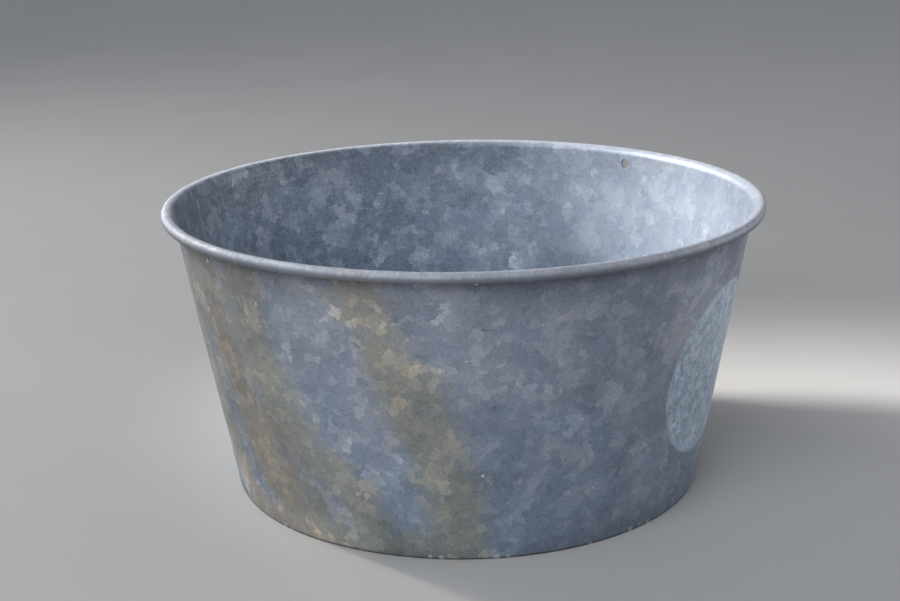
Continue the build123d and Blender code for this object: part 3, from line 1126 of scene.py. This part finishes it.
# ---- floor, light and camera ---------------------------------------------------------------------
FLOOR_HALF = 9.0
DAYLIGHT = (1.0, 0.985, 0.96)
SHADE_LIGHT = (0.90, 0.95, 1.0)
BOUNCED_LIGHT = (1.0, 0.98, 0.95)


def make_floor():
    corners = [(-FLOOR_HALF, -FLOOR_HALF, 0.0), (FLOOR_HALF, -FLOOR_HALF, 0.0)]
    corners += [(FLOOR_HALF, FLOOR_HALF, 0.0), (-FLOOR_HALF, FLOOR_HALF, 0.0)]
    mesh = bpy.data.meshes.new("floor")
    mesh.from_pydata(corners, [], [(0, 1, 2, 3)])
    mesh.materials.append(pale_floor())
    floor = bpy.data.objects.new("floor", mesh)
    bpy.context.scene.collection.objects.link(floor)


def add_light(name, data, place, target):
    light = bpy.data.objects.new(name, data)
    light.location = place
    light.rotation_euler = (Vector(target) - Vector(place)).to_track_quat("-Z", "Y").to_euler()
    bpy.context.scene.collection.objects.link(light)


def area_light(name, place, target, size, power, shade):
    data = bpy.data.lights.new(name, "AREA")
    data.shape = "DISK"
    data.size = size
    data.energy = power
    data.color = shade
    add_light(name, data, place, target)


def beam_light(name, place, target, beam_degrees, radius, power, shade):
    """Soft-edged beam, like daylight through a window off to one side."""
    data = bpy.data.lights.new(name, "SPOT")
    data.spot_size = math.radians(beam_degrees)
    data.spot_blend = 0.8
    data.shadow_soft_size = radius
    data.energy = power
    data.color = shade
    add_light(name, data, place, target)


def make_light():
    middle = (0.0, 0.0, HEIGHT / 2)
    upper_middle = (0.0, 0.0, 0.8 * HEIGHT)
    far_right_inside = (RIM_RADIUS, 0.02, HEIGHT / 2)
    beam_light(
        "window", (-1.35, 0.75, 1.25), far_right_inside,
        beam_degrees=24.0, radius=0.18, power=405.0, shade=DAYLIGHT,
    )
    area_light("sky", (-1.75, 1.05, 1.75), middle, size=1.4, power=26.0, shade=DAYLIGHT)
    area_light("fill", (-1.3, -2.4, 1.8), middle, size=2.4, power=60.0, shade=SHADE_LIGHT)
    beam_light(
        "bounce", (1.9, 0.3, 0.40), upper_middle,
        beam_degrees=27.0, radius=0.35, power=53.0, shade=BOUNCED_LIGHT,
    )
    world = bpy.data.worlds.new("studio")
    world.use_nodes = True
    background = world.node_tree.nodes["Background"]
    background.inputs["Color"].default_value = (0.78, 0.84, 0.93, 1.0)
    background.inputs["Strength"].default_value = 0.48
    bpy.context.scene.world = world


CAMERA_PLACE = Vector((0.0, -1.31529, 0.55051))
CAMERA_HEADING = -0.010278      # radians clockwise from +Y, seen from above
CAMERA_DIP = 0.2906433
CAMERA_ROLL = -0.0196143
FOCAL_LENGTH_MM = 59.30
SENSOR_WIDTH_MM = 36.0


def make_camera():
    ahead = Vector((
        math.sin(CAMERA_HEADING) * math.cos(CAMERA_DIP),
        math.cos(CAMERA_HEADING) * math.cos(CAMERA_DIP),
        -math.sin(CAMERA_DIP),
    ))
    right = Vector((math.cos(CAMERA_HEADING), -math.sin(CAMERA_HEADING), 0.0))
    above = right.cross(ahead)
    rolled_right = right * math.cos(CAMERA_ROLL) + above * math.sin(CAMERA_ROLL)
    rolled_above = above * math.cos(CAMERA_ROLL) - right * math.sin(CAMERA_ROLL)
    axes = Matrix((rolled_right, rolled_above, -ahead)).transposed().to_4x4()
    data = bpy.data.cameras.new("camera")
    data.sensor_width = SENSOR_WIDTH_MM
    data.lens = FOCAL_LENGTH_MM
    camera = bpy.data.objects.new("camera", data)
    camera.matrix_world = Matrix.Translation(CAMERA_PLACE) @ axes
    bpy.context.scene.collection.objects.link(camera)
    bpy.context.scene.camera = camera


make_floor()
make_light()
make_camera()
bpy.context.scene.view_settings.view_transform = "Standard"
